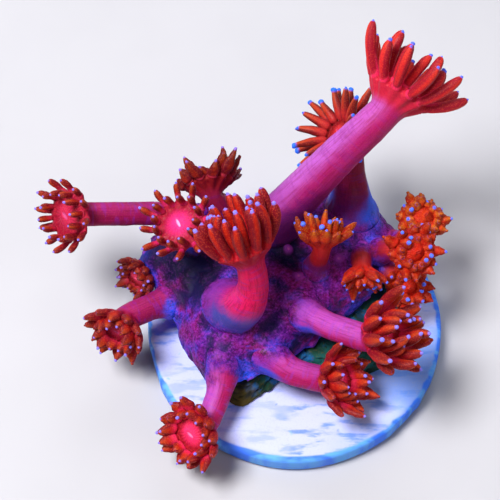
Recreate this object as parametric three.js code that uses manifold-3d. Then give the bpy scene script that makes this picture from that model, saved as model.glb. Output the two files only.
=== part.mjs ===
// A flowerpot coral fragment with its polyps out, growing on a round ceramic disc.
// Millimetres, +Z up. The origin is the middle of the disc's underside, X runs to the right
// and Y to the back. One fleshy colony body sits on a rough foot of old skeleton. Each polyp
// is a soft stalk that widens into a crown of 24 tentacles, 12 outer and 12 inner.
import * as THREE from "three";
import { mergeVertices } from "three/addons/utils/BufferGeometryUtils.js";
import Module from "manifold-3d";

const wasm = await Module();
wasm.setup();

// Driving dimensions.
const DISC_RADIUS = 25;
const DISC_THICKNESS = 4;
const DISC_BEVEL = 1;
const BEVEL_KNEE = [0.25, 0.35]; // a point of the bevel: in from the side and from the face, in bevels
const GAP = 0.35; // left between neighbouring pieces
const ROOT_GAP = 0.45; // left between the body and the polyps
const BODY_CENTRE = new THREE.Vector3(-3, 4.2, 8);
const BODY_TOP = 17.5;
const BODY_FLOOR = 6.9; // height of the body's underside at its centre
const BODY_FLOOR_SLOPE = 0.09; // its rise per millimetre to the right
const BODY_SIDES = 44;
const ROCK_SIDES = 26;
const DISC_SIDES = 48;
const TENTACLES = 24;
const STALK_SIDES = 8;
const RIM_CORNERS = TENTACLES / STALK_SIDES;
const STALK_STEP = 4.2; // distance between the rings of a stalk
const RIM_BAND = 1.5; // height of a rim band, in tentacle radii
const BELT_HALF = 0.86; // half width of a tentacle's square belt, in tentacle radii
const TIP_START = 0.7; // share of a tentacle's length where its tip starts to narrow
const MOUTH_RISE = 0.12; // height of the mouth's low cone, in rim radii
const SWAY = 0.1; // how far a tentacle's tip sways to a side at most, as a share of its length

const COLOURS = {
  disc: 0xdfe2ff,
  rock: 0x1d3a2c,
  body: 0x64287f,
  crimson: 0xd62a2a,
  brick: 0xa62a22,
  orange: 0xe0561c,
};

// Waves round a piece that isn't quite round: how many, their share of the radius, and their start.
const DISC_WAVES = [[3, 0.005, 40], [7, 0.003, 0]];
const ROCK_WAVES = [[5, 0.035, 0], [9, 0.03, 90]];

// Outlines from above, as [degrees from +X, distance from BODY_CENTRE].
const BODY_OUTLINE = [
  [0, 17], [14, 19.5], [30, 20], [62, 18.5], [92, 15.5], [122, 17], [150, 21.5], [170, 21.5],
  [184, 19], [200, 18], [224, 19.5], [238, 20.5], [247, 17.8], [256, 15.8], [268, 14.2],
  [285, 12.6], [300, 11.6], [318, 11.6], [338, 12.8],
];
const ROCK_OUTLINE = [
  [0, 19.8], [40, 16], [90, 12], [140, 13], [180, 14], [215, 15], [236, 18], [252, 19.8],
  [262, 16.5], [276, 13.8], [300, 14.5], [319, 20], [340, 20.4],
];

// Side profiles, as [share of the outline, share of the height], from the underside to the top.
const BODY_PROFILE = [
  [0, 0], [0.5, 0], [0.9, 0], [0.985, 0.13], [1, 0.32], [0.955, 0.52],
  [0.865, 0.7], [0.73, 0.84], [0.55, 0.93], [0.33, 0.98], [0, 1],
];
const ROCK_PROFILE = [
  [0, 0], [0.6, 0], [1, 0], [1.03, 0.35], [0.95, 0.8], [0.84, 1], [0.45, 1], [0, 1],
];

// Swellings of the body: the place each grows towards, how far it stands out, and its reach.
const SWELLINGS = [
  { at: [-24.5, 9.2, 12], out: 2.8, reach: 4 }, // closed polyp at the left end
  { at: [9, 16.2, 15], out: 3.2, reach: 4.6 }, // ridge that climbs the stalk behind
  { at: [15, 13.2, 11], out: 1.6, reach: 4 },
  { at: [-13, -2.3, 13], out: 1.6, reach: 3.6 },
  { at: [0, -0.8, 13.5], out: 1.4, reach: 3.4 },
  { at: [-5.5, -7.8, 9.5], out: 1.2, reach: 3 },
  { at: [-12, -7.3, 9.5], out: 1.2, reach: 3 },
  { at: [-19, 1.7, 9.5], out: 1.3, reach: 3 },
  { at: [-4.5, 11.2, 17], out: 1.6, reach: 4 },
  { at: [-16, 12.2, 14.5], out: 1.2, reach: 4 },
  { at: [5, 0.2, 12.5], out: 1.2, reach: 2.2 },
  { at: [-8.5, -12.3, 8.5], out: 1, reach: 1.8 },
];

// Polyps. route runs up the stalk from inside the body to the neck, as [x, y, z, stalk radius],
// and face is the way the crown looks. In a crown, rim is its radius where the tentacles start,
// cup its depth from there to the neck, long and thick are a tentacle's length and radius, open
// is its angle from the crown's axis at its root (outer ring, inner ring), and curl is what the
// angle has gained at its tip.
const POLYPS = [
  {
    name: "polyp_tall",
    colour: "crimson",
    route: [
      [-4.5, 13.2, 15, 4.3], [-3, 11.2, 20.5, 3.9],
      [5.5, 13.2, 34.5, 3.15], [13.5, 16.2, 44.5, 2.7],
    ],
    face: [0.56, 0.74, 0.37],
    crown: { rim: 4, cup: 3.8, long: 8, thick: 0.9, open: [58, 34], curl: -38 },
  },
  {
    name: "polyp_behind",
    colour: "brick",
    route: [[9.5, 14.7, 13.5, 4.6], [9.5, 15.7, 17.5, 3.8], [9, 19.2, 22, 2.7], [9, 22.2, 27, 2.1]],
    face: [-0.66, 0.08, 0.75],
    crown: { rim: 2.9, cup: 2.4, long: 6, thick: 0.8, open: [60, 38], curl: 22 },
  },
  {
    name: "polyp_back_left",
    colour: "brick",
    route: [[-11, 16.2, 12, 2.6], [-12, 15.7, 16.5, 2.1], [-14, 15.7, 20, 1.8]],
    face: [-0.2, 0.93, 0.3],
    crown: { rim: 3.7, cup: 3, long: 3.5, thick: 0.62, open: [62, 42], curl: -12 },
  },
  {
    name: "polyp_far_left",
    colour: "crimson",
    route: [[-15, 15.7, 12, 2.6], [-18, 14.7, 15.5, 2.2], [-24, 12.7, 19.5, 2], [-35, 10.7, 22.5, 2]],
    face: [-0.7, -0.42, 0.58],
    crown: { rim: 4.1, cup: 3.1, long: 3.1, thick: 0.57, open: [52, 18], curl: -30 },
  },
  {
    name: "polyp_left_facing",
    colour: "crimson",
    route: [[-16.5, 9.2, 15, 2.6], [-17.5, 8.7, 18.5, 2], [-18, 7.8, 21.8, 1.9], [-17.9, 6.6, 24.5, 2]],
    face: [-0.34, -0.16, 0.92],
    crown: { rim: 4.1, cup: 2.6, long: 3.4, thick: 0.6, open: [56, 16], curl: -26 },
  },
  {
    name: "polyp_centre",
    colour: "crimson",
    route: [
      [-12, 0.2, 11, 4.2], [-11, -2.8, 16, 3.9], [-8.5, -5.8, 21.5, 3.4],
      [-7, -4.8, 26.5, 2.5], [-7.5, -3.3, 31, 2.3],
    ],
    face: [-0.32, 0.58, 0.75],
    crown: { rim: 3.7, cup: 3.4, long: 6.8, thick: 0.94, open: [35, 20], curl: -34 },
  },
  {
    name: "polyp_small_right",
    colour: "orange",
    route: [[3.5, 3.7, 15.5, 2.1], [3.5, 3.2, 20, 1.6], [4, 2.7, 25, 1.45]],
    face: [0.02, 0.72, 0.69],
    crown: { rim: 2.3, cup: 2.2, long: 3.4, thick: 0.64, open: [50, 28], curl: -10 },
  },
  {
    name: "polyp_right_top",
    colour: "orange",
    route: [[16, 11.2, 11.5, 2], [18.5, 10.7, 14.5, 1.6], [20.5, 11.7, 18.5, 1.5]],
    face: [0.25, -0.19, 0.95],
    crown: { rim: 2.7, cup: 1.8, long: 2.1, thick: 0.64, open: [62, 36], curl: -16 },
  },
  {
    name: "polyp_right_upper",
    colour: "orange",
    route: [[13.5, 8.7, 13.5, 2], [15.5, 6.7, 17, 1.6], [18.5, 4.7, 20.5, 1.5]],
    face: [0.3, -0.48, 0.83],
    crown: { rim: 2.7, cup: 1.8, long: 2.5, thick: 0.64, open: [58, 30], curl: -18 },
  },
  {
    name: "polyp_hanging",
    colour: "orange",
    route: [[11, 9.2, 13.5, 1.7], [11, 5.7, 16.5, 1.4], [11, 3.7, 18, 1.4]],
    face: [-0.05, -0.95, -0.3],
    crown: { rim: 2, cup: 1.9, long: 2.9, thick: 0.6, open: [44, 28], curl: -10 },
  },
  {
    name: "polyp_right_middle",
    colour: "orange",
    route: [[13, 7.7, 10.5, 1.9], [15.5, 5.7, 12, 1.5], [18, 3.2, 13, 1.5]],
    face: [0.31, -0.68, 0.67],
    crown: { rim: 2.5, cup: 1.6, long: 2.3, thick: 0.62, open: [60, 34], curl: -18 },
  },
  {
    name: "polyp_right_front",
    colour: "crimson",
    route: [[-2.5, 0.7, 11, 3.6], [0.5, -3.3, 15, 2.5], [6, -7.8, 18, 2.2], [11.5, -10.8, 20, 2.3]],
    face: [0.72, -0.16, 0.67],
    crown: { rim: 3.4, cup: 3, long: 6.2, thick: 0.88, open: [48, 22], curl: -36 },
  },
  {
    name: "polyp_front_right",
    colour: "crimson",
    route: [[-6.5, -4.8, 8, 3.6], [-5, -9.3, 11.5, 2.6], [-0.5, -12.3, 11, 2.3], [5, -13.3, 10, 2.2]],
    face: [0.71, -0.3, 0.64],
    crown: { rim: 3.2, cup: 2.8, long: 4.5, thick: 0.72, open: [48, 22], curl: -22 },
  },
  {
    name: "polyp_front_left",
    colour: "crimson",
    route: [[-12.5, -3.3, 9, 3.6], [-12, -8.3, 12, 2.8], [-12.3, -14.8, 10.2, 2.1], [-15, -21, 8, 2]],
    face: [-0.6, -0.58, 0.55],
    crown: { rim: 3.8, cup: 2.8, long: 3.2, thick: 0.68, open: [46, 22], curl: -20 },
  },
  {
    name: "polyp_left",
    colour: "crimson",
    route: [
      [-17.5, 4.7, 6.5, 3.4], [-20, 1.7, 9.5, 2.6],
      [-23.5, -0.6, 11.8, 2.2], [-28, -3.2, 12.4, 2.2],
    ],
    face: [-0.42, -0.88, 0.2],
    crown: { rim: 3.2, cup: 2.7, long: 3.3, thick: 0.64, open: [50, 20], curl: -22 },
  },
  {
    name: "polyp_left_small",
    colour: "brick",
    route: [[-19.5, 9.2, 7.5, 2.6], [-22.5, 8.8, 9, 2.1], [-25.2, 7.5, 9.2, 1.7]],
    face: [-0.66, -0.7, 0.28],
    crown: { rim: 2.6, cup: 2, long: 2.5, thick: 0.52, open: [50, 18], curl: -18 },
  },
];

const degrees = THREE.MathUtils.degToRad;
const vector = (list) => new THREE.Vector3(...list);

// A repeatable number from -1 to 1 for tentacle k of a polyp.
function vary(k, polyp, kind) {
  const wave = Math.sin(12.9898 * k + 78.233 * polyp + 37.719 * kind) * 43758.5453;
  return 2 * (wave - Math.floor(wave)) - 1;
}

// Distance of a closed outline at an angle, smooth between its points.
function outlineAt(outline, angle) {
  const turn = ((angle % 360) + 360) % 360;
  let i = outline.length - 1;
  while (i > 0 && outline[i][0] > turn) i -= 1;
  const from = outline[i];
  const to = outline[(i + 1) % outline.length];
  const span = to[0] > from[0] ? to[0] - from[0] : to[0] + 360 - from[0];
  const share = THREE.MathUtils.smoothstep(turn - from[0], 0, span);
  return THREE.MathUtils.lerp(from[1], to[1], share);
}

// The slanted plane that the body is cut off at, lower on the left.
function bodyFloor(x) {
  return BODY_FLOOR + BODY_FLOOR_SLOPE * (x - BODY_CENTRE.x);
}

// How much further out than round a wavy piece is at an angle, as a share of its radius.
function unevenAt(waves, angle) {
  const parts = waves.map(([count, share, start]) => share * Math.sin(degrees(count * angle + start)));
  return parts.reduce((sum, part) => sum + part, 0);
}

// A round shape turned from a profile, then given its outline and heights by place().
function turned(profile, sides, place) {
  const points = profile.map(([r, z]) => new THREE.Vector2(r, z));
  const geometry = new THREE.LatheGeometry(points, sides);
  const position = geometry.getAttribute("position");
  for (let i = 0; i < position.count; i += 1) {
    const share = Math.hypot(position.getX(i), position.getZ(i));
    const angle = THREE.MathUtils.radToDeg(Math.atan2(position.getX(i), position.getZ(i)));
    const { x, y, z } = place(share, angle, position.getY(i));
    position.setXYZ(i, x, y, z);
  }
  return geometry;
}

// A point of the rough plan around BODY_CENTRE.
function planPoint(outline, share, angle) {
  const out = share * outlineAt(outline, angle);
  return new THREE.Vector3(
    BODY_CENTRE.x + out * Math.cos(degrees(angle)),
    BODY_CENTRE.y + out * Math.sin(degrees(angle)),
    0,
  );
}

// The fleshy body: a low dome whose surface swells at each polyp. spare moves it outwards.
function bodyGeometry(spare) {
  return turned(BODY_PROFILE, BODY_SIDES, (share, angle, height) => {
    const point = planPoint(BODY_OUTLINE, share, angle);
    const floor = bodyFloor(point.x);
    point.z = floor + height * (BODY_TOP - floor);
    const outwards = point.clone().sub(BODY_CENTRE).normalize();
    let out = spare;
    for (const swelling of SWELLINGS) {
      const near = point.distanceTo(vector(swelling.at)) / swelling.reach;
      out += swelling.out * Math.exp(-near * near) * THREE.MathUtils.smoothstep(height, 0, 0.25);
    }
    return point.addScaledVector(outwards, out);
  });
}

// The rough foot of old skeleton, from just above the disc to just below the body.
function rockGeometry() {
  return turned(ROCK_PROFILE, ROCK_SIDES, (share, angle, height) => {
    const point = planPoint(ROCK_OUTLINE, share * (1 + unevenAt(ROCK_WAVES, angle)), angle);
    const floor = DISC_THICKNESS + GAP;
    point.z = floor + height * (bodyFloor(point.x) - GAP - floor);
    return point;
  });
}

// The disc: a flat pressed slab with a rounded edge that isn't quite round.
function discGeometry() {
  const flat = DISC_RADIUS - DISC_BEVEL;
  const [inwards, rise] = BEVEL_KNEE.map((share) => share * DISC_BEVEL);
  const profile = [
    [0, 0],
    [flat, 0],
    [DISC_RADIUS - inwards, rise],
    [DISC_RADIUS, DISC_BEVEL],
    [DISC_RADIUS, DISC_THICKNESS - DISC_BEVEL],
    [DISC_RADIUS - inwards, DISC_THICKNESS - rise],
    [flat, DISC_THICKNESS],
    [0, DISC_THICKNESS],
  ];
  return turned(profile, DISC_SIDES, (radius, angle, height) => {
    const out = radius * (1 + unevenAt(DISC_WAVES, angle));
    return new THREE.Vector3(out * Math.cos(degrees(angle)), out * Math.sin(degrees(angle)), height);
  });
}

// Axes of a crown: its face, and two directions across it.
function crownAxes(face) {
  const across = new THREE.Vector3(0, 0, 1).cross(face).normalize();
  return { face, across, up: face.clone().cross(across) };
}

function around(axes, angle) {
  return axes.across.clone().multiplyScalar(Math.cos(angle)).addScaledVector(axes.up, Math.sin(angle));
}

// The middle line of tentacle k: a function from 0 at its root to 1 at its tip.
function tentacleLine(crown, number, k, start, axes) {
  const ring = k % 2;
  const column = (2 * Math.PI * (k + 0.5)) / TENTACLES;
  const open = degrees(crown.open[ring] + 9 * vary(k, number, 2));
  const curl = degrees(crown.curl + 9 * vary(k, number, 5));
  const long = crown.long * (1 + 0.16 * vary(k, number, 3)) * (ring ? 0.92 : 1);
  const sway = SWAY * long * vary(k, number, 4);
  const outwards = around(axes, column + degrees(4) * vary(k, number, 1));
  const sideways = axes.face.clone().cross(around(axes, column));
  return (share) => {
    const turnedBy = open + curl * share;
    const out = (long * (Math.cos(open) - Math.cos(turnedBy))) / curl;
    const along = (long * (Math.sin(turnedBy) - Math.sin(open))) / curl;
    const middle = start.clone().addScaledVector(outwards, out).addScaledVector(axes.face, along);
    middle.addScaledVector(sideways, sway * share * share);
    const heading = outwards.clone().multiplyScalar(Math.sin(turnedBy));
    return { middle, heading: heading.addScaledVector(axes.face, Math.cos(turnedBy)) };
  };
}

// One polyp as a single closed surface: rings up the stalk, a flared rim, the mouth disc, and a
// tentacle drawn out of every other face of the rim's two bands.
function polypGeometry(polyp, number) {
  const points = [];
  const faces = [];
  const add = (point) => points.push(point) - 1;
  const triangle = (...corners) => faces.push(corners);
  const quad = (a, b, c, d) => {
    triangle(a, b, c);
    triangle(a, c, d);
  };

  const { route, crown } = polyp;
  const face = vector(polyp.face).normalize();
  const axes = crownAxes(face);
  const neckPoint = vector(route[route.length - 1]);
  const mouth = neckPoint.clone().addScaledVector(face, crown.cup);
  const curve = new THREE.CatmullRomCurve3([...route.map(vector), mouth], false, "catmullrom", 0.5);
  const spans = route.length - 1;
  const steps = Math.round((curve.getLength() - crown.cup) / STALK_STEP);

  // Stalk rings, made from the neck down so that their corners follow the crown's.
  const rings = [];
  let side = axes.across.clone();
  for (let i = steps; i >= 0; i -= 1) {
    const share = (i / steps) * spans;
    const centre = curve.getPoint(share / route.length);
    const heading = i === steps ? face : curve.getTangent(share / route.length);
    side = side.addScaledVector(heading, -side.dot(heading)).normalize();
    const other = heading.clone().cross(side);
    const from = Math.min(Math.floor(share), spans - 1);
    const radius = THREE.MathUtils.lerp(route[from][3], route[from + 1][3], share - from);
    const ring = [];
    for (let j = 0; j < STALK_SIDES; j += 1) {
      const angle = (2 * Math.PI * j) / STALK_SIDES;
      const corner = centre.clone().addScaledVector(side, radius * Math.cos(angle));
      ring.push(add(corner.addScaledVector(other, radius * Math.sin(angle))));
    }
    rings.unshift(ring);
  }
  for (let j = 2; j < STALK_SIDES; j += 1) triangle(rings[0][0], rings[0][j], rings[0][j - 1]);
  for (let i = 1; i < rings.length; i += 1) {
    for (let j = 0; j < STALK_SIDES; j += 1) {
      const next = (j + 1) % STALK_SIDES;
      quad(rings[i - 1][j], rings[i - 1][next], rings[i][next], rings[i][j]);
    }
  }

  // Rim rings: low and high edges of the outer band, then the inner band's inner edge.
  const [outer, inner] = crown.open.map(degrees);
  const band = RIM_BAND * crown.thick;
  const discHeight = crown.cup + band * Math.sin(inner);
  const rimRings = [
    [crown.rim + band * Math.cos(outer), crown.cup - band * Math.sin(outer)],
    [crown.rim, crown.cup],
    [crown.rim - band * Math.cos(inner), discHeight],
  ].map(([radius, height]) => {
    const ring = [];
    for (let k = 0; k < TENTACLES; k += 1) {
      const angle = (2 * Math.PI * k) / TENTACLES;
      const corner = neckPoint.clone().addScaledVector(face, height);
      ring.push(add(corner.addScaledVector(around(axes, angle), radius)));
    }
    return ring;
  });
  const neck = rings[rings.length - 1];
  for (let j = 0; j < STALK_SIDES; j += 1) {
    for (let k = RIM_CORNERS * j - 2; k <= RIM_CORNERS * j; k += 1) {
      const here = (k + TENTACLES) % TENTACLES;
      triangle(neck[j], rimRings[0][(here + 1) % TENTACLES], rimRings[0][here]);
    }
    triangle(neck[j], neck[(j + 1) % STALK_SIDES], rimRings[0][RIM_CORNERS * j + 1]);
  }

  // Tentacles and the webs between them.
  for (let k = 0; k < TENTACLES; k += 1) {
    const next = (k + 1) % TENTACLES;
    for (let ring = 0; ring < 2; ring += 1) {
      const [low, high] = [rimRings[ring], rimRings[ring + 1]];
      const base = [low[k], low[next], high[next], high[k]];
      if (k % 2 !== ring) {
        quad(...base);
        continue;
      }
      const start = base.reduce((sum, i) => sum.add(points[i]), new THREE.Vector3()).divideScalar(4);
      const line = tentacleLine(crown, number, k, start, axes);
      const { middle, heading } = line(TIP_START);
      const outwards = around(axes, (2 * Math.PI * (k + 0.5)) / TENTACLES);
      const sideways = axes.face.clone().cross(outwards);
      const lengthways = heading.clone().cross(sideways);
      const half = BELT_HALF * crown.thick;
      const belt = [[-1, -1], [1, -1], [1, 1], [-1, 1]].map(([a, b]) =>
        add(middle.clone().addScaledVector(sideways, a * half).addScaledVector(lengthways, b * half)),
      );
      const tip = add(line(1).middle);
      for (let c = 0; c < 4; c += 1) {
        const d = (c + 1) % 4;
        quad(base[c], base[d], belt[d], belt[c]);
        triangle(belt[c], belt[d], tip);
      }
    }
  }

  // The mouth disc, raised to a low cone.
  const top = add(neckPoint.clone().addScaledVector(face, discHeight + MOUTH_RISE * crown.rim));
  for (let k = 0; k < TENTACLES; k += 1) {
    triangle(rimRings[2][k], rimRings[2][(k + 1) % TENTACLES], top);
  }

  const geometry = new THREE.BufferGeometry().setFromPoints(points);
  return geometry.setIndex(faces.flat());
}

function solidOf(geometry) {
  const plain = geometry.clone();
  plain.deleteAttribute("normal");
  plain.deleteAttribute("uv");
  const merged = mergeVertices(plain, 1e-3);
  const triangles = merged.index.array;
  const whole = [];
  for (let i = 0; i < triangles.length; i += 3) {
    const [a, b, c] = triangles.slice(i, i + 3);
    if (a !== b && b !== c && c !== a) whole.push(a, b, c);
  }
  return new wasm.Manifold(
    new wasm.Mesh({
      numProp: 3,
      vertProperties: new Float32Array(merged.getAttribute("position").array),
      triVerts: new Uint32Array(whole),
    }),
  );
}

function geometryOf(solid) {
  const mesh = solid.getMesh();
  const geometry = new THREE.BufferGeometry();
  geometry.setAttribute("position", new THREE.BufferAttribute(mesh.vertProperties, 3));
  return geometry.setIndex(new THREE.BufferAttribute(mesh.triVerts, 1));
}

const coral = new THREE.Group();

function addPiece(name, solid, colour, roughness) {
  const geometry = geometryOf(solid);
  geometry.computeVertexNormals();
  const material = new THREE.MeshStandardMaterial({ color: COLOURS[colour], roughness, metalness: 0 });
  const mesh = new THREE.Mesh(geometry, material);
  mesh.name = name;
  coral.add(mesh);
}

addPiece("frag_disc", solidOf(discGeometry()), "disc", 0.8);
addPiece("base_rock", solidOf(rockGeometry()), "rock", 0.9);
addPiece("colony_body", solidOf(bodyGeometry(0)), "body", 0.45);

// Each polyp ends on the body's surface, a gap away from it.
const bodyClearance = solidOf(bodyGeometry(ROOT_GAP));
POLYPS.forEach((polyp, number) => {
  const pieces = solidOf(polypGeometry(polyp, number)).subtract(bodyClearance).decompose();
  const largest = pieces.reduce((a, b) => (a.volume() > b.volume() ? a : b));
  addPiece(polyp.name, largest, polyp.colour, 0.45);
});

export default coral;
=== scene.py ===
# A flowerpot coral fragment with its polyps out, on its ceramic disc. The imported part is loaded
# as a fixed frame, and each of its solids is then replaced by a living-looking piece.
import math
from collections import namedtuple

import bpy
import numpy as np
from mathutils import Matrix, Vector, noise
from mathutils.bvhtree import BVHTree


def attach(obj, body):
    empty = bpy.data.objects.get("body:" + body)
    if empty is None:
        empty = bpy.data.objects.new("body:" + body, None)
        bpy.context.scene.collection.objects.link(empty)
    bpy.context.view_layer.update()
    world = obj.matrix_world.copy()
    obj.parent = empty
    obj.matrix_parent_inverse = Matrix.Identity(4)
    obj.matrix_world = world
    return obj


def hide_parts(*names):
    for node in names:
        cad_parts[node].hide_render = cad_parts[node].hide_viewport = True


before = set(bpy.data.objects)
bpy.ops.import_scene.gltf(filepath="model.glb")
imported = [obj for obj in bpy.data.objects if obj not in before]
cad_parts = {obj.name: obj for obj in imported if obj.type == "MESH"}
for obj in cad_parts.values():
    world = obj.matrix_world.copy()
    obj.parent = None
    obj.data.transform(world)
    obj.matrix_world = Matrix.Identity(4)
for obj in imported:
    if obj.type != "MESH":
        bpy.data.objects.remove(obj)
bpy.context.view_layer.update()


# The disc. A plug of pale unglazed ceramic, 50 mm across and 4 mm thick, pressed and fired, that
# the colony was glued to. Its edge is rounded and not quite round, and its face has wipe marks and
# pits. Its rounded edge, sides and underside are painted bright blue as painted rim light, and the
# right half of its face carries painted blue shade.
MM = 0.001
DISC_RADIUS = 25
DISC_THICKNESS = 4
DISC_BEVEL = 1
DISC_SIDES = 240
DISC_FACE_RINGS = 60
DISC_EDGE_RINGS = 10
WIPE_DEPTH = 0.05
PITS = 26
PIT_RADIUS = 0.34
PIT_DEPTH = 0.16


def put_in_scene(name, points, faces):
    """A smooth piece from points in millimetres."""
    mesh = bpy.data.meshes.new(name)
    mesh.from_pydata((np.asarray(points) * MM).tolist(), [], faces)
    mesh.polygons.foreach_set("use_smooth", [True] * len(mesh.polygons))
    mesh.update()
    piece = bpy.data.objects.new(name, mesh)
    bpy.context.scene.collection.objects.link(piece)
    return piece


def paint_values(piece, name, values):
    """Stores one number for each point of a piece, for its material to read."""
    layer = piece.data.attributes.new(name, "FLOAT", "POINT")
    layer.data.foreach_set("value", np.asarray(values, dtype=np.float32))


def grid_faces(rings, sides):
    """Faces of a shape turned round an axis: rings of points, with one point at each end."""
    faces = []
    last = 1 + rings * sides
    for j in range(sides):
        nxt = (j + 1) % sides
        faces.append((0, 1 + nxt, 1 + j))
        for i in range(rings - 1):
            low = 1 + i * sides
            faces.append((low + j, low + nxt, low + sides + nxt, low + sides + j))
        faces.append((last - sides + j, last - sides + nxt, last))
    return faces


def noise_at(points, size, seed, detail=3):
    """Soft noise from about -1 to 1, whose lumps are about size millimetres across."""
    shift = Vector((seed * 7.31, seed * 3.17, seed * 5.93))
    return np.array([noise.fractal(Vector(p) / size + shift, 1.0, 2.0, detail) for p in points])


def smooth_step(values, low, high):
    share = np.clip((values - low) / (high - low), 0, 1)
    return share * share * (3 - 2 * share)


def disc_profile():
    """Radius and height from the middle of the underside, round the edge, to the middle on top."""
    turn = np.linspace(0, math.pi / 2, DISC_EDGE_RINGS)
    middle = DISC_RADIUS - DISC_BEVEL
    under = [(middle * s, 0.0) for s in np.linspace(0.06, 1, 14)[:-1]]
    low = [(middle + DISC_BEVEL * math.sin(a), DISC_BEVEL * (1 - math.cos(a))) for a in turn]
    high = [(r, DISC_THICKNESS - h) for r, h in reversed(low)]
    top = [(middle * s, float(DISC_THICKNESS)) for s in np.linspace(1, 0.015, DISC_FACE_RINGS)[1:]]
    return under + low + high + top


def make_disc():
    profile = disc_profile()
    angles = np.arange(DISC_SIDES) * 2 * math.pi / DISC_SIDES
    uneven = 0.005 * np.sin(3 * angles + math.radians(40)) + 0.003 * np.sin(7 * angles)
    edge = np.column_stack([np.cos(angles), np.sin(angles), np.zeros(DISC_SIDES)])
    uneven -= 0.009 * smooth_step(noise_at(edge * 10, 2.2, 4), 0, 0.6)
    points = [(0, 0, 0)]
    for radius, height in profile:
        out = radius * (1 + uneven * min(1, radius / DISC_RADIUS))
        points += [(r * math.cos(a), r * math.sin(a), height) for r, a in zip(out, angles)]
    points = np.array(points + [(0, 0, DISC_THICKNESS)])
    on_top = smooth_step(points[:, 2], DISC_THICKNESS - 0.5, DISC_THICKNESS)
    stretched = points * (0.16, 1, 1)
    wiped = noise_at(stretched, 1.3, 1, 4)
    points[:, 2] -= on_top * WIPE_DEPTH * np.clip(wiped + 0.4, 0, None)
    random = np.random.default_rng(5)
    pitted = np.zeros(len(points))
    for _ in range(PITS):
        place = random.uniform(-DISC_RADIUS, DISC_RADIUS, 2)
        size = PIT_RADIUS * random.uniform(0.5, 1.3)
        away = np.hypot(*(points[:, :2] - place).T)
        pitted = np.maximum(pitted, np.exp(-((away / size) ** 2)))
    points[:, 2] -= on_top * PIT_DEPTH * pitted
    piece = put_in_scene("coral_disc", points, grid_faces(len(profile), DISC_SIDES))
    radial = np.hypot(points[:, 0], points[:, 1])
    # Painted rim light: the rounded edge, the sides and the underside are marked for a bright blue.
    rim = smooth_step(radial + 0.35 * wiped, DISC_RADIUS - 1.1, DISC_RADIUS - 0.15)
    paint_values(piece, "rim", np.maximum(rim, 1 - smooth_step(points[:, 2], 0, DISC_THICKNESS - 0.6)))
    paint_values(piece, "pitted", pitted * on_top)
    return piece


def fill_sockets(tree, sockets, values):
    """Gives each socket its fixed value, or links it to another node's output."""
    for socket, value in values.items():
        if isinstance(value, bpy.types.NodeSocket):
            tree.links.new(value, sockets[socket])
        elif sockets[socket].type == "RGBA":
            sockets[socket].default_value = (*value, 1)
        else:
            sockets[socket].default_value = value


def add_node(tree, kind, values, **settings):
    """A shader node with its settings, and its inputs fixed or linked."""
    new = tree.nodes.new("ShaderNode" + kind)
    for setting, value in settings.items():
        setattr(new, setting, value)
    fill_sockets(tree, new.inputs, values)
    return new


def read_values(tree, name):
    """The numbers painted on a piece's points under a name."""
    return add_node(tree, "Attribute", {}, attribute_name=name).outputs["Fac"]


def object_place(tree, stretch=(1, 1, 1), shift=(0, 0, 0)):
    """Coordinates fixed to the object, in metres, stretched and shifted."""
    place = add_node(tree, "TexCoord", {}).outputs["Object"]
    return add_node(tree, "Mapping", {"Vector": place, "Location": shift, "Scale": stretch}).outputs[0]


def add_noise(tree, place, scale, detail, roughness=0.5):
    """Soft noise from 0 to 1."""
    values = {"Vector": place, "Scale": scale, "Detail": detail, "Roughness": roughness}
    return add_node(tree, "TexNoise", values).outputs["Fac"]


def multiply(tree, first, second):
    return add_node(tree, "Math", {0: first, 1: second}, operation="MULTIPLY").outputs[0]


def average(tree, share, first, second):
    values = {"Factor": share, "A": first, "B": second}
    return add_node(tree, "Mix", values, data_type="FLOAT").outputs["Result"]


def blend_colours(tree, share, first, second):
    """Mixes two colours, each a fixed colour or another node's output."""
    new = add_node(tree, "Mix", {}, data_type="RGBA")
    fill_sockets(tree, new.inputs, {0: share, 6: first, 7: second})
    return new.outputs[2]


def remap(tree, value, low, high, to_low=0.0, to_high=1.0):
    """Stretches a value smoothly from one range to another."""
    values = {"Value": value, "From Min": low, "From Max": high, "To Min": to_low, "To Max": to_high}
    return add_node(tree, "MapRange", values, interpolation_type="SMOOTHSTEP").outputs[0]


def lay_tints(tree, colour, tints):
    """Tints a colour in turn. Each tint has its value, where it starts, is full, and how full."""
    for value, low, high, most, tint in tints:
        colour = blend_colours(tree, remap(tree, value, low, high, 0.0, most), colour, tint)
    return colour


def new_effect(name, inputs, outputs):
    """An empty node group with named inputs and outputs. Its inputs are colours or numbers."""
    group = bpy.data.node_groups.new(name, "ShaderNodeTree")
    for label, value in inputs.items():
        kind = "Color" if isinstance(value, tuple) else "Float"
        socket = group.interface.new_socket(name=label, in_out="INPUT", socket_type="NodeSocket" + kind)
        socket.default_value = (*value, 1) if kind == "Color" else value
    for label, kind in outputs.items():
        group.interface.new_socket(name=label, in_out="OUTPUT", socket_type="NodeSocket" + kind)
    return group, group.nodes.new("NodeGroupInput").outputs, group.nodes.new("NodeGroupOutput").inputs


def place_effect(tree, group, values):
    placed = tree.nodes.new("ShaderNodeGroup")
    placed.node_tree = group
    fill_sockets(tree, placed.inputs, values)
    return placed.outputs


def new_finish(name, fixed):
    """A material with one Principled shader and its fixed values."""
    finish = bpy.data.materials.new(name)
    finish.use_nodes = True
    shader = finish.node_tree.nodes["Principled BSDF"]
    fill_sockets(finish.node_tree, shader.inputs, fixed)
    return finish, finish.node_tree, shader


def dress(tree, shader, colour, height, bump_strength, bump_depth):
    """Gives a finish its colour, and its relief in metres."""
    tree.links.new(colour, shader.inputs["Base Color"])
    values = {"Height": height, "Strength": bump_strength, "Distance": bump_depth}
    tree.links.new(add_node(tree, "Bump", values).outputs[0], shader.inputs["Normal"])


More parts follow.
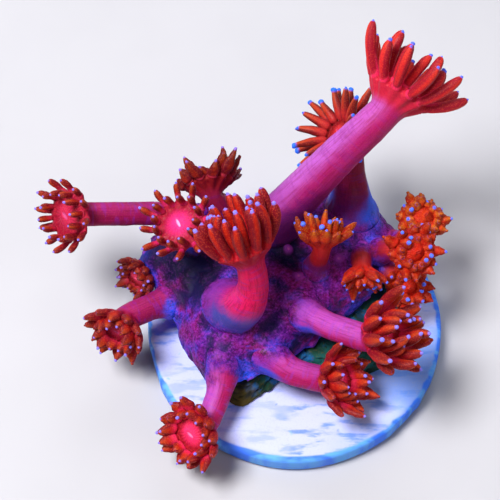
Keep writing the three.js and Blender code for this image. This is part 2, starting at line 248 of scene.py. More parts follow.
# Mottling that every surface here has: a fine grain on top of broad soft patches.
mottle, given, made = new_effect(
    "mottling",
    {"Patch Size": 200.0, "Grain Size": 2000.0, "Grain Share": 0.5},
    {"Patches": "Float", "Grain": "Float", "Specks": "Float", "Height": "Float"},
)
place = object_place(mottle)
patches = add_noise(mottle, place, given["Patch Size"], 3.0, 0.55)
grain = add_noise(mottle, place, given["Grain Size"], 4.0, 0.65)
dots = add_node(mottle, "TexVoronoi", {"Vector": place, "Scale": given["Grain Size"]}).outputs["Distance"]
fill_sockets(mottle, made, {
    "Specks": remap(mottle, dots, 0.5, 0.15),
    "Patches": remap(mottle, patches, 0.35, 0.65),
    "Grain": remap(mottle, grain, 0.3, 0.7),
    "Height": average(mottle, given["Grain Share"], patches, grain),
})

fired_clay, tree, shader = new_finish("fired_clay", {"Roughness": 0.6, "Specular IOR Level": 0.3})
spots = place_effect(tree, mottle, {"Patch Size": 120.0, "Grain Size": 2600.0, "Grain Share": 0.7})
wipes = add_noise(tree, object_place(tree, (180, 680, 60)), 1.0, 5.0)
patchy = remap(tree, spots["Patches"], 0.1, 0.9, 0.4, 1.0)
wiped = multiply(tree, remap(tree, wipes, 0.5, 0.64), patchy)
clay = blend_colours(tree, wiped, (0.55, 0.6, 0.97), (0.17, 0.3, 0.88))
# Painted shade: soft blue clouds over the right half of the disc's face, none on the left.
clouds = add_noise(tree, object_place(tree, (36, 70, 36), (0.35, 0.2, 0)), 1.0, 3.0)
side = add_node(tree, "SeparateXYZ", {"Vector": object_place(tree)}).outputs["X"]
painted_right_shade = multiply(tree, remap(tree, clouds, 0.42, 0.6, 0.0, 0.8), remap(tree, side, 0.002, 0.02))
clay = blend_colours(tree, painted_right_shade, clay, (0.13, 0.32, 0.92))
# Painted rim light: a bright blue, streaked by the wipes, laid over the marked edge and sides.
painted_rim_light_blue = blend_colours(tree, remap(tree, wipes, 0.4, 0.62), (0.01, 0.17, 1.0), (0.12, 0.45, 1.0))
clay = lay_tints(tree, clay, [
    (spots["Grain"], 0.55, 1.0, 0.25, (0.4, 0.44, 0.75)),
    (add_noise(tree, object_place(tree), 330.0, 2.0), 0.7, 0.78, 1.0, (0.18, 0.5, 0.62)),
    (read_values(tree, "pitted"), 0.2, 0.9, 0.7, (0.2, 0.3, 0.5)),
    (read_values(tree, "rim"), 0.0, 0.6, 0.92, painted_rim_light_blue),
])
dress(tree, shader, clay, spots["Height"], 0.25, 0.0002)

disc = make_disc()
disc.data.materials.append(fired_clay)
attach(disc, "root")
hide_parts("frag_disc")


# The foot. Dead skeleton left under the living colony, porous and lumpy, overgrown with dark
# green algae. It was glued to the disc, and the body rests on top of it.
BODY_CENTRE = np.array((-3.0, 4.2, 8.0))
BODY_FLOOR = 6.9
BODY_FLOOR_SLOPE = 0.09
ROCK_OUTLINE = [
    (0, 19.8), (40, 16), (90, 12), (140, 13), (180, 14), (215, 15), (236, 18), (252, 19.8),
    (262, 16.5), (276, 13.8), (300, 14.5), (319, 20), (340, 20.4),
]
ROCK_PROFILE = [(0.06, 0), (0.6, 0), (1, 0), (1.03, 0.35), (0.95, 0.8), (0.84, 1), (0.45, 1), (0.04, 1)]
MOSSY_PLACE = (-10.5, -14.5, 5)  # where its algae is brown
MOSSY_REACH = 5
ROCK_SIDES = 200
ROCK_RINGS = 64


def curve_through(a, b, c, d, t):
    """A smooth curve from b to c as t goes from 0 to 1, with a before them and d after."""
    return 0.5 * (2 * b + (c - a) * t + (2 * a - 5 * b + 4 * c - d) * t**2 + (3 * b - a - 3 * c + d) * t**3)


def between(points, share):
    """A point on a smooth curve through points, share from 0 to 1 along it."""
    points = np.asarray(points, float)
    spans = len(points) - 1
    place = np.clip(np.asarray(share, float), 0, 1) * spans
    i = np.minimum(place.astype(int), spans - 1)
    t = (place - i)[..., None]
    padded = np.vstack([2 * points[0] - points[1], points, 2 * points[-1] - points[-2]])
    a, b, c, d = (padded[i + k] for k in range(4))
    return curve_through(a, b, c, d, t)


def outline_radius(outline, angles):
    """Distance of a closed outline at angles in degrees, smooth between its points."""
    turns = np.array([a for a, _ in outline])
    radii = np.array([r for _, r in outline], float)
    count = len(outline)
    angles = np.mod(angles, 360)
    i = np.searchsorted(turns, angles, side="right") - 1
    span = np.mod(turns[(i + 1) % count] - turns[i], 360)
    t = (angles - turns[i]) / span
    a, b, c, d = radii[i - 1], radii[i], radii[(i + 1) % count], radii[(i + 2) % count]
    return curve_through(a, b, c, d, t)


def body_floor(x):
    return BODY_FLOOR + BODY_FLOOR_SLOPE * (x - BODY_CENTRE[0])


def turned_plan(outline, profile, rings, sides):
    """Places on a rough plan: x, y, share of the height, and share of the way out, for each point."""
    shape = between(profile, np.linspace(0, 1, rings))
    angles = np.arange(sides) * 360 / sides
    out = outline_radius(outline, angles)
    rows = [(BODY_CENTRE[0], BODY_CENTRE[1], profile[0][1], 0)]
    for share, height in shape:
        x = BODY_CENTRE[0] + share * out * np.cos(np.radians(angles))
        y = BODY_CENTRE[1] + share * out * np.sin(np.radians(angles))
        rows += zip(x, y, np.full(sides, height), np.full(sides, share))
    rows.append((BODY_CENTRE[0], BODY_CENTRE[1], profile[-1][1], 0))
    return np.array(rows)


def make_rock():
    plan = turned_plan(ROCK_OUTLINE, ROCK_PROFILE, ROCK_RINGS, ROCK_SIDES)
    height = np.clip(plan[:, 2], 0, 1)
    floor = DISC_THICKNESS - 0.1
    top = body_floor(plan[:, 0]) + 0.6
    points = np.column_stack([plan[:, :2], floor + height * (top - floor)])
    outwards = points - BODY_CENTRE * (1, 1, 0.6)
    outwards /= np.linalg.norm(outwards, axis=1)[:, None]
    lumps = 0.9 * noise_at(points, 3.2, 11) + 0.45 * noise_at(points, 1.0, 12, 4)
    pores = -0.5 * smooth_step(noise_at(points, 0.9, 13, 2), 0.25, 0.6)
    side = smooth_step(plan[:, 3], 0.5, 0.85)
    points += outwards * ((lumps + pores) * side * smooth_step(height, -0.02, 0.25))[:, None]
    points[:, 2] = np.maximum(points[:, 2], floor)
    piece = put_in_scene("coral_foot", points, grid_faces(ROCK_RINGS, ROCK_SIDES))
    # Painted shade: the dips and pores of the foot are marked for a near-black tint.
    paint_values(piece, "painted_recess_shade", smooth_step(-(lumps + pores), 0.0, 0.7))
    mossy = np.exp(-((np.linalg.norm(points - MOSSY_PLACE, axis=1) / MOSSY_REACH) ** 2))
    paint_values(piece, "mossy", mossy + 0.35 * noise_at(points, 1.1, 14, 3))
    return piece


algae, tree, shader = new_finish("algae_rock", {"Roughness": 0.85, "Specular IOR Level": 0.25})
spots = place_effect(tree, mottle, {"Patch Size": 260.0, "Grain Size": 2200.0, "Grain Share": 0.6})
green = blend_colours(tree, spots["Patches"], (0.004, 0.035, 0.018), (0.008, 0.11, 0.1))
green = lay_tints(tree, green, [
    (add_noise(tree, object_place(tree), 420.0, 3.0), 0.52, 0.68, 0.9, (0.008, 0.12, 0.36)),
    (spots["Grain"], 0.6, 1.0, 0.6, (0.09, 0.07, 0.01)),
    (read_values(tree, "mossy"), 0.2, 0.8, 0.9, (0.09, 0.06, 0.006)),
    # painted shade, near black, in the foot's dips and pores
    (read_values(tree, "painted_recess_shade"), 0.2, 1.0, 0.8, (0.001, 0.008, 0.006)),
])
dress(tree, shader, green, spots["Height"], 0.6, 0.0004)

rock = make_rock()
rock.data.materials.append(algae)
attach(rock, "root")
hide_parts("base_rock")


# The body. The living flesh shared by all the polyps, stretched over its skeleton in a low lumpy
# dome. It swells where each polyp leaves it, closed polyps sit on it as small round buds, and its
# lower edge laps over the foot.
BODY_TOP = 17.5
BODY_OUTLINE = [
    (0, 17), (14, 19.5), (30, 20), (62, 18.5), (92, 15.5), (122, 17), (150, 21.5), (170, 21.5),
    (184, 19), (200, 18), (224, 19.5), (238, 20.5), (247, 17.8), (256, 15.8), (268, 14.2),
    (285, 12.6), (300, 11.6), (318, 11.6), (338, 12.8),
]
BODY_PROFILE = [
    (0.05, 0), (0.5, 0), (0.9, 0), (0.985, 0.13), (1, 0.32), (0.955, 0.52),
    (0.865, 0.7), (0.73, 0.84), (0.55, 0.93), (0.33, 0.98), (0.02, 1),
]
BODY_SIDES = 340
BODY_RINGS = 170
# Each swelling: the place it grows towards, how far it stands out, and its reach.
SWELLINGS = [
    ((-24.5, 9.2, 12), 2.8, 4), ((9, 16.2, 15), 3.2, 4.6), ((15, 13.2, 11), 1.6, 4),
    ((-13, -2.3, 13), 1.6, 3.6),
    ((0, -0.8, 13.5), 1.4, 3.4), ((-5.5, -7.8, 9.5), 1.2, 3), ((-12, -7.3, 9.5), 1.2, 3),
    ((-19, 1.7, 9.5), 1.3, 3),
    ((-4.5, 11.2, 17), 1.6, 4), ((-16, 12.2, 14.5), 1.2, 4), ((5, 0.2, 12.5), 1.2, 2.2),
    ((-8.5, -12.3, 8.5), 1, 1.8),
]
# Places where the flesh is painted dark, clear blue or warm magenta, each with its reach. The dark
# patches are painted shade under the crowns, and the clear blue is partly the flesh's own blue and
# partly painted blue rim light along the ridge behind.
FLESH_PATCHES = {
    "painted_crown_shade": [
        ((-21.5, 8, 13.5), 3.4), ((-19, 6.2, 14.5), 4.4), ((-16, 3.2, 15.5), 4.8), ((-1.6, 6.2, 17), 3.6),
        ((-5, 8.2, 17.5), 3), ((-3, 0.2, 15.5), 2.4),
    ],
    "blue": [
        ((-26.5, 9.4, 11), 3.4), ((-20.8, -1.2, 11), 2.2), ((-8.9, -10.8, 9), 3.4), ((12, 17.7, 15), 4.6),
        ((11.8, 14.5, 17), 4.4), ((12, 9.9, 13), 3), ((8, 2.2, 13), 2.4),
    ],
    "warm": [
        ((-16, -10.2, 8), 4.2), ((-17.7, -5.8, 12.5), 3.4), ((-9, 10.2, 17), 3.4), ((1, 10.2, 16.5), 3.4),
        ((6, 5, 14), 4.4),
    ],
}
BUDS = 26
BUD_RADIUS = 0.8
BUD_HEIGHT = 0.7


def make_body():
    plan = turned_plan(BODY_OUTLINE, BODY_PROFILE, BODY_RINGS, BODY_SIDES)
    height = np.clip(plan[:, 2], 0, 1)
    floor = body_floor(plan[:, 0])
    points = np.column_stack([plan[:, :2], floor + height * (BODY_TOP - floor)])
    outwards = points - BODY_CENTRE
    outwards /= np.linalg.norm(outwards, axis=1)[:, None]
    above_lip = smooth_step(height, 0, 0.25)
    out = np.zeros(len(points))
    for place, stands, reach in SWELLINGS:
        near = np.linalg.norm(points - place, axis=1) / reach
        out += stands * np.exp(-(near**2)) * above_lip
    points += outwards * out[:, None]
    folds = noise_at(points, 4.2, 21, 3)
    wrinkles = noise_at(points, 1.3, 22, 4)
    relief = 0.7 * folds - 0.22 * np.abs(wrinkles) + 0.06
    random = np.random.default_rng(31)
    bud_share = np.zeros(len(points))
    bud_cup = np.zeros(len(points))
    candidates = np.flatnonzero((height > 0.12) & (height < 0.995))
    for start in random.choice(candidates, BUDS, replace=False):
        radius = BUD_RADIUS * random.uniform(0.6, 1.35)
        away = np.linalg.norm(points - points[start], axis=1) / radius
        bud = np.exp(-(away**4))
        relief += BUD_HEIGHT * radius * bud
        bud_share = np.maximum(bud_share, bud)
        bud_cup = np.maximum(bud_cup, np.exp(-((away / 0.35) ** 2)))
    relief -= 0.25 * bud_cup
    lip = 0.35 + 0.65 * smooth_step(height, 0.0, 0.12)
    inside = smooth_step(plan[:, 3], 0.6, 0.95) * (height < 0.02) + (height >= 0.02)
    points += outwards * (relief * lip * inside)[:, None]
    piece = put_in_scene("coral_body", points, grid_faces(BODY_RINGS, BODY_SIDES))
    # Painted shade: the dips between folds and wrinkles, and the buds' cups, are marked for darkening.
    paint_values(piece, "painted_recess_shade", smooth_step(-relief, -0.35, 0.45))
    paint_values(piece, "bud", bud_share)
    paint_values(piece, "bud_mouth", bud_cup)
    paint_values(piece, "lip", 1 - smooth_step(height, 0.02, 0.3))
    # Painted rim light: flesh that faces sideways or down is marked to be painted bluer.
    paint_values(piece, "painted_flank_light", 1 - smooth_step(point_normals(piece)[:, 2], 0.05, 0.75))
    paint_patches(piece, points)
    return piece


def paint_patches(piece, points):
    drift = 1.2 * noise_at(points, 2.6, 24, 3)
    for name, patches in FLESH_PATCHES.items():
        near = np.zeros(len(points))
        for place, reach in patches:
            away = (np.linalg.norm(points - place, axis=1) + drift) / reach
            near = np.maximum(near, np.exp(-(away**2)))
        paint_values(piece, name, near)


def stored_values(items, field, width):
    """All the values of one field of a mesh's items, with so many numbers for each."""
    values = np.empty(len(items) * width, np.float32)
    items.foreach_get(field, values)
    return values if width == 1 else values.reshape(-1, width).astype(float)


def point_normals(piece):
    return stored_values(piece.data.vertex_normals, "vector", 3)


flesh_fixed = {
    "Roughness": 0.48,
    "Specular IOR Level": 0.13,
    "Subsurface Weight": 0.1,
    "Subsurface Radius": (1.0, 0.35, 0.4),
    "Subsurface Scale": 0.001,
    "Sheen Weight": 0.02,
    "Sheen Roughness": 0.3,
    "Sheen Tint": (0.3, 0.25, 1.0),
}
# The shared flesh: violet and magenta, with random blue patches, more blue painted as rim light
# where it faces sideways, painted dark shade in listed patches under the crowns, and a dark grain.
shared_flesh, given, made = new_effect(
    "shared_flesh",
    {
        "Violet": (0.08, 0.005, 0.2), "Magenta": (0.2, 0.005, 0.11), "Blue": (0.006, 0.045, 0.6),
        "Speck": (0.34, 0.04, 0.52), "Shade And Dark Grain": (0.004, 0.002, 0.024), "Clear Blue": (0.008, 0.1, 0.95),
    },
    {"Colour": "Color", "Height": "Float"},
)
spots = place_effect(shared_flesh, mottle, {"Patch Size": 190.0, "Grain Size": 2600.0, "Grain Share": 0.55})
here = object_place(shared_flesh)
blotches = add_noise(shared_flesh, here, 260.0, 4.0)
cells = add_noise(shared_flesh, here, 620.0, 5.0, 0.62)
painted_flank_light = read_values(shared_flesh, "painted_flank_light")
# Painted shade: listed patches under the crowns are darkened to near black.
painted_crown_shade = read_values(shared_flesh, "painted_crown_shade")
# Painted rim light: flesh facing sideways is painted bluer, together with random blue blotches.
bluer = add_node(shared_flesh, "Math", {0: painted_flank_light, 1: 0.2, 2: blotches}, operation="MULTIPLY_ADD").outputs[0]
flesh = blend_colours(shared_flesh, spots["Patches"], given["Violet"], given["Magenta"])
flesh = lay_tints(shared_flesh, flesh, [
    (bluer, 0.5, 0.75, 0.8, given["Blue"]),
    (read_values(shared_flesh, "warm"), 0.25, 0.85, 0.8, given["Magenta"]),
    # the clear blue patches: partly the flesh's own blue, partly painted blue rim light along the ridge
    # behind
    (read_values(shared_flesh, "blue"), 0.25, 0.85, 0.9, given["Clear Blue"]),
    # painted shade in the listed patches under the crowns
    (painted_crown_shade, 0.25, 0.85, 0.95, given["Shade And Dark Grain"]),
    (cells, 0.52, 0.32, 0.7, given["Shade And Dark Grain"]),
    (cells, 0.54, 0.78, 0.45, given["Speck"]),
    (spots["Grain"], 0.5, 1.0, 0.4, given["Speck"]),
    (spots["Grain"], 0.45, 0.0, 0.6, given["Shade And Dark Grain"]),
    # painted shade in the listed patches again, deepening them
    (painted_crown_shade, 0.2, 0.75, 0.75, given["Shade And Dark Grain"]),
])
fill_sockets(shared_flesh, made, {"Colour": flesh, "Height": spots["Height"]})

violet_flesh, tree, shader = new_finish("violet_flesh", {**flesh_fixed, "Roughness": 0.55})
shared = place_effect(tree, shared_flesh, {})
flesh = lay_tints(tree, shared["Colour"], [
    # painted shade, dark navy, in the body's dips and creases
    (read_values(tree, "painted_recess_shade"), 0.45, 1.0, 0.8, (0.006, 0.005, 0.05)),
    (read_values(tree, "bud"), 0.2, 1.0, 0.6, (0.3, 0.03, 0.36)),
    (read_values(tree, "bud_mouth"), 0.3, 1.0, 0.5, (0.6, 0.1, 0.4)),
    (read_values(tree, "lip"), 0.2, 1.0, 0.75, (0.03, 0.05, 0.6)),
])
# Painted light: the flesh glows faintly in its own colour, lifting its shaded parts.
fill_sockets(tree, shader.inputs, {"Emission Color": flesh, "Emission Strength": 0.08})
dress(tree, shader, flesh, shared["Height"], 0.5, 0.0003)

body = make_body()
body.data.materials.append(violet_flesh)
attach(body, "root")
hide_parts("colony_body")


# The polyps. Each is one soft tube of flesh held out by its own fluid. The stalk leaves the
# body, widens into a cup, and ends in a round mouth disc with 24 tapering tentacles round it, in
# an outer and an inner ring, each with a pale swollen tip.
TENTACLES = 24
STALK_RING_STEP = 1.3
RIM_BAND = 1.5
MOUTH_RISE = 0.12
SQUARE_TO_ROUND = 1.075  # a smoothed square tube is this much thinner than its cage
# Rings of the mouth disc: share of its radius, share of its rise, how near the mouth, and how much
# it is drawn out into a slit.
MOUTH_RINGS = [
    (0.8, 0, 0.25, 1), (0.55, 0.4, 0.5, 1), (0.28, 1, 0.75, 1.3), (0.16, 1.1, 0.9, 1.7), (0.08, 0.4, 1, 1.9),
]
RIB_HEIGHT = 0.22
FOLD_HEIGHT = 0.07
RIPPLE_HEIGHT = 0.09
FILLET = 2.8  # how far from a seam between a stalk and the body their flesh rises to meet
FAR_AWAY = 30.0  # farther from the body than any fillet reaches
# The way the painted highlight faces: flesh turned up and to the left is painted lighter, as if lit from
# there.
PAINTED_LIGHT_FROM = np.array((-0.5, 0.25, 0.83))
# Tentacle shapes: its width and depth along the shaft, as shares of length and thickness, and the
# radius of the bead at its tip as a share of the thickness. Wide ones are webbed to their neighbours.
TENTACLE_SHAPES = {
    "tapered": ([
        (0.14, 0.8, 0.84), (0.38, 0.9, 0.95), (0.62, 0.97, 1), (0.82, 0.92, 0.92),
        (0.94, 0.7, 0.7), (1, 0.4, 0.4),
    ], 0.28),
    "knobbed": ([
        (0.12, 1.12, 1.12), (0.32, 1.06, 1.06), (0.56, 0.94, 0.94), (0.8, 0.74, 0.74), (1, 0.5, 0.5),
    ], 0.5),
    "broad": ([
        (0.14, 1.15, 1), (0.38, 1.3, 1), (0.62, 1.3, 0.95), (0.84, 1, 0.85),
        (0.95, 0.66, 0.64), (1, 0.4, 0.4),
    ], 0.3),
    "tooth": ([
        (0.14, 1.7, 1.25), (0.36, 1.8, 1.1), (0.62, 1.35, 0.95), (0.84, 0.85, 0.75), (1, 0.45, 0.42),
    ], 0.36),
    "lobe": ([(0.14, 1.6, 1.4), (0.4, 1.75, 1.35), (0.66, 1.5, 1.25), (0.88, 1, 0.95), (1, 0.6, 0.6)], 0.42),
    "petal": ([
        (0.12, 1.6, 1.2), (0.38, 1.9, 1), (0.6, 1.6, 0.9), (0.8, 1.05, 0.8), (0.92, 0.7, 0.62), (1, 0.4, 0.4),
    ], 0.3),
}
# The tentacles of a crown's outer and inner ring: their shape, their share of the crown's length,
# how many degrees they open more than the crown says, how uneven they are, the share of them that
# have a pale bead, and how far they draw together into fingers of six.
CROWN_STYLES = {
    "tapered": (("tapered", 1, 0, 1, 1, 0), ("tapered", 0.92, 0, 1, 1, 0)),
    "knobbed": (("knobbed", 1, 0, 1, 1, 0), ("knobbed", 0.92, 0, 1, 1, 0)),
    "fanned": (("petal", 1, 0, 1.7, 0.5, 0), ("knobbed", 0.95, 0, 1.7, 0.8, 0)),
    "clumped": (("broad", 1, 0, 1.9, 0.7, 0.15), ("tapered", 0.9, -6, 1.9, 1, 0.15)),
    "palmed": (("petal", 1, 0, 1.6, 0.5, 0.15), ("petal", 0.85, 0, 1.8, 0.7, 0.15)),
    "webbed": (("tooth", 1, 0, 2.2, 0.3, 0.25), ("lobe", 0.75, -12, 2.6, 0.5, 0.25)),
    "ragged": (("tooth", 1.05, 0, 2, 0.6, 0.6), ("tooth", 0.95, 0, 2, 0.6, 0.6)),
}
FINGER = 6
# How much tentacles differ: degrees round the crown, degrees of opening and bending, and shares of
# their length by which they are longer and lean aside.
TURN_VARIES = 4
OPENING_VARIES = 9
LENGTH_VARIES = 0.16
LEAN_VARIES = 0.1
BEAD_VARIES = 0.5
# How far the mouth disc bulges in a crown of fused tentacles, as a share of its rise.
MOUTH_DOMES = {"webbed": 4}
# How far the flesh of a crown is lumpy, for each style of its tentacles.
LUMPS = {
    "tapered": 0.05, "knobbed": 0.05, "fanned": 0.1, "clumped": 0.1, "palmed": 0.16,
    "ragged": 0.24, "webbed": 0.34,
}
LUMP_SIZE = 1.1
# Rings of the bead: distance past the shaft and width, in bead radii.
BEAD_RINGS = [(0.3, 0.9), (0.75, 1.0), (1.2, 0.8), (1.45, 0.4)]
BEAD_START = 2.9
TENTACLE_APART = 9  # between the skins of two tentacles, in their own coordinates
# route: x, y, z and stalk radius, from inside the body to the neck. face: the way the crown looks.
# crown: rim radius, cup depth, tentacle length and radius, its angles from the crown's axis in the
# outer and inner ring, and the angle it gains by its tip. skin and tips: its flesh and crown style.
Polyp = namedtuple("Polyp", "route face crown skin tips")
POLYPS = {
    "tall": Polyp(
        [(-4.5, 13.2, 15, 4.3), (-3, 11.2, 20.5, 3.9), (5.5, 13.2, 34.5, 3.15), (13.5, 16.2, 44.5, 2.7)],
        (0.56, 0.74, 0.37), (4, 3.8, 8, 0.9, 58, 34, -38), "rose", "tapered",
    ),
    "behind": Polyp(
        [(9.5, 14.7, 13.5, 4.6), (9.5, 15.7, 17.5, 3.8), (9, 19.2, 22, 2.7), (9, 22.2, 27, 2.1)],
        (-0.66, 0.08, 0.75), (2.9, 2.4, 6, 0.8, 60, 38, 22), "brick", "knobbed",
    ),
    "back_left": Polyp(
        [(-11, 16.2, 12, 2.6), (-12, 15.7, 16.5, 2.1), (-14, 15.7, 20, 1.8)],
        (-0.2, 0.93, 0.3), (3.7, 3, 3.5, 0.62, 62, 42, -12), "rust", "ragged",
    ),
    "far_left": Polyp(
        [(-15, 15.7, 12, 2.6), (-18, 14.7, 15.5, 2.2), (-24, 12.7, 19.5, 2), (-35, 10.7, 22.5, 2)],
        (-0.7, -0.42, 0.58), (4.1, 3.1, 3.1, 0.57, 52, 18, -30), "garnet", "tapered",
    ),
    "left_facing": Polyp(
        [(-16.5, 9.2, 15, 2.6), (-17.5, 8.7, 18.5, 2), (-18, 7.8, 21.8, 1.9), (-17.9, 6.6, 24.5, 2)],
        (-0.34, -0.16, 0.92), (4.1, 2.6, 3.4, 0.6, 56, 16, -26), "ruby", "tapered",
    ),
    "centre": Polyp(
        [(-12, 0.2, 11, 4.2), (-11, -2.8, 16, 3.9), (-8.5, -5.8, 21.5, 3.4),
         (-7, -4.8, 26.5, 2.5), (-7.5, -3.3, 31, 2.3)],
        (-0.32, 0.58, 0.75), (3.7, 3.4, 6.8, 0.94, 35, 20, -34), "wine", "tapered",
    ),
    "small_right": Polyp(
        [(3.5, 3.7, 15.5, 2.1), (3.5, 3.2, 20, 1.6), (4, 2.7, 25, 1.45)],
        (0.02, 0.72, 0.69), (2.3, 2.2, 3.4, 0.64, 50, 28, -10), "orange", "fanned",
    ),
    "right_top": Polyp(
        [(16, 11.2, 11.5, 2), (18.5, 10.7, 14.5, 1.6), (20.5, 11.7, 18.5, 1.5)],
        (0.25, -0.19, 0.95), (2.7, 1.8, 2.1, 0.64, 62, 36, -16), "orange", "webbed",
    ),
    "right_upper": Polyp(
        [(13.5, 8.7, 13.5, 2), (15.5, 6.7, 17, 1.6), (18.5, 4.7, 20.5, 1.5)],
        (0.3, -0.48, 0.83), (2.7, 1.8, 2.5, 0.64, 58, 30, -18), "ember", "webbed",
    ),
    "hanging": Polyp(
        [(11, 9.2, 13.5, 1.7), (11, 5.7, 16.5, 1.4), (11, 3.7, 18, 1.4)],
        (-0.05, -0.95, -0.3), (2, 1.9, 2.9, 0.6, 44, 28, -10), "ember", "ragged",
    ),
    "right_middle": Polyp(
        [(13, 7.7, 10.5, 1.9), (15.5, 5.7, 12, 1.5), (18, 3.2, 13, 1.5)],
        (0.31, -0.68, 0.67), (2.5, 1.6, 2.3, 0.62, 60, 34, -18), "ember", "webbed",
    ),
    "right_front": Polyp(
        [(-2.5, 0.7, 11, 3.6), (0.5, -3.3, 15, 2.5), (6, -7.8, 18, 2.2), (11.5, -10.8, 20, 2.3)],
        (0.72, -0.16, 0.67), (3.4, 3, 6.2, 0.88, 48, 22, -36), "crimson", "clumped",
    ),
    "front_right": Polyp(
        [(-6.5, -4.8, 8, 3.6), (-5, -9.3, 11.5, 2.6), (-0.5, -12.3, 11, 2.3), (5, -13.3, 10, 2.2)],
        (0.71, -0.3, 0.64), (3.2, 2.8, 4.5, 0.72, 48, 22, -22), "crimson", "palmed",
    ),
    "front_left": Polyp(
        [(-12.5, -3.3, 9, 3.6), (-12, -8.3, 12, 2.8), (-12.3, -14.8, 10.2, 2.1), (-15, -21, 8, 2)],
        (-0.6, -0.58, 0.55), (3.8, 2.8, 3.2, 0.68, 46, 22, -20), "crimson", "palmed",
    ),
    "left": Polyp(
        [(-17.5, 4.7, 6.5, 3.4), (-20, 1.7, 9.5, 2.6), (-23.5, -0.6, 11.8, 2.2), (-28, -3.2, 12.4, 2.2)],
        (-0.42, -0.88, 0.2), (3.2, 2.7, 3.3, 0.64, 50, 20, -22), "garnet", "palmed",
    ),
    "left_small": Polyp(
        [(-19.5, 9.2, 7.5, 2.6), (-22.5, 8.8, 9, 2.1), (-25.2, 7.5, 9.2, 1.7)],
        (-0.66, -0.7, 0.28), (2.6, 2, 2.5, 0.52, 50, 18, -18), "rust", "ragged",
    ),
}


def vary(k, polyp, kind):
    """A repeatable number from -1 to 1 for tentacle k of a polyp."""
    wave = math.sin(12.9898 * k + 78.233 * polyp + 37.719 * kind) * 43758.5453
    return 2 * (wave - math.floor(wave)) - 1


class Cage:
    """The coarse mesh of a polyp, with what its material needs to know at each point."""

    def __init__(self):
        self.points = []
        self.faces = []
        self.along = []
        self.mouth = []
        self.skin = []
        self.stations = []  # the middle and radius of each ring of the stalk

    def add(self, point, along, mouth, skin):
        self.points.append(point)
        self.along.append(along)
        self.mouth.append(mouth)
        self.skin.append(skin)
        return len(self.points) - 1

    def join(self, low, high):
        count = len(low)
        for j in range(count):
            self.faces.append((low[j], low[(j + 1) % count], high[(j + 1) % count], high[j]))


def crown_axes(face):
    face = np.array(face) / np.linalg.norm(face)
    across = np.cross((0, 0, 1), face)
    across /= np.linalg.norm(across)
    return face, across, np.cross(face, across)


def add_stalk(cage, route, face, across, cup):
    """Rings of the stalk, made from the neck down so that they follow the crown's."""
    route = np.array(route, float)
    line = np.vstack([route[:, :3], route[-1, :3] + face * cup])
    spans = len(route) - 1
    fine = between(line, np.linspace(0, spans / len(route), 60))
    length = np.linalg.norm(np.diff(fine, axis=0), axis=1).sum()
    steps = max(6, round(length / STALK_RING_STEP))
    rings = []
    side = across.copy()
    for i in range(steps, -1, -1):
        share = i / steps
        here = share * spans / len(route)
        centre = between(line, here)
        heading = between(line, here + 0.004) - between(line, here - 0.004)
        heading = face if i == steps else heading / np.linalg.norm(heading)
        side = side - heading * side.dot(heading)
        side /= np.linalg.norm(side)
        other = np.cross(heading, side)
        radius = between(route[:, 3:], share)[0]
        clear = smooth_step(share * spans, 0.6, spans)
        cage.stations.append((centre, radius))
        ring = []
        for j in range(TENTACLES):
            angle = 2 * math.pi * j / TENTACLES
            out = side * math.cos(angle) + other * math.sin(angle)
            skin = (radius * math.cos(angle), radius * math.sin(angle), share * length)
            ring.append(cage.add(centre + out * radius, float(clear), 0, skin))
        rings.insert(0, ring)
    for low, high in zip(rings, rings[1:]):
        cage.join(low, high)
    cage.faces.append(tuple(reversed(rings[0])))
    return rings[-1], length


def add_crown_ring(cage, centre, radius, across, up, along, mouth, skin_radius, depth, slit=1):
    ring = []
    for k in range(TENTACLES):
        angle = 2 * math.pi * k / TENTACLES
        out = across * math.cos(angle) * slit + up * math.sin(angle) / slit
        skin = (skin_radius * math.cos(angle), skin_radius * math.sin(angle), depth)
        ring.append(cage.add(centre + out * radius, along, mouth, skin))
    return ring


def tentacle_rings(long, thick, shape, uneven, beaded):
    """Distance along a tentacle, half its width and depth there, and its value for the paint."""
    shaft, bead = TENTACLE_SHAPES[shape]
    bead *= thick * (1 + BEAD_VARIES * uneven)
    neck = long - BEAD_RINGS[-1][0] * bead
    rings = [(s * neck, width * thick, depth * thick, 2 + (BEAD_START - 2) * s) for s, width, depth in shaft]
    end = BEAD_RINGS[-1][0]
    pale = 0.1 if beaded else -0.05
    rings += [(neck + far * bead, r * bead, r * bead, BEAD_START + pale * far / end) for far, r in BEAD_RINGS]
    return rings


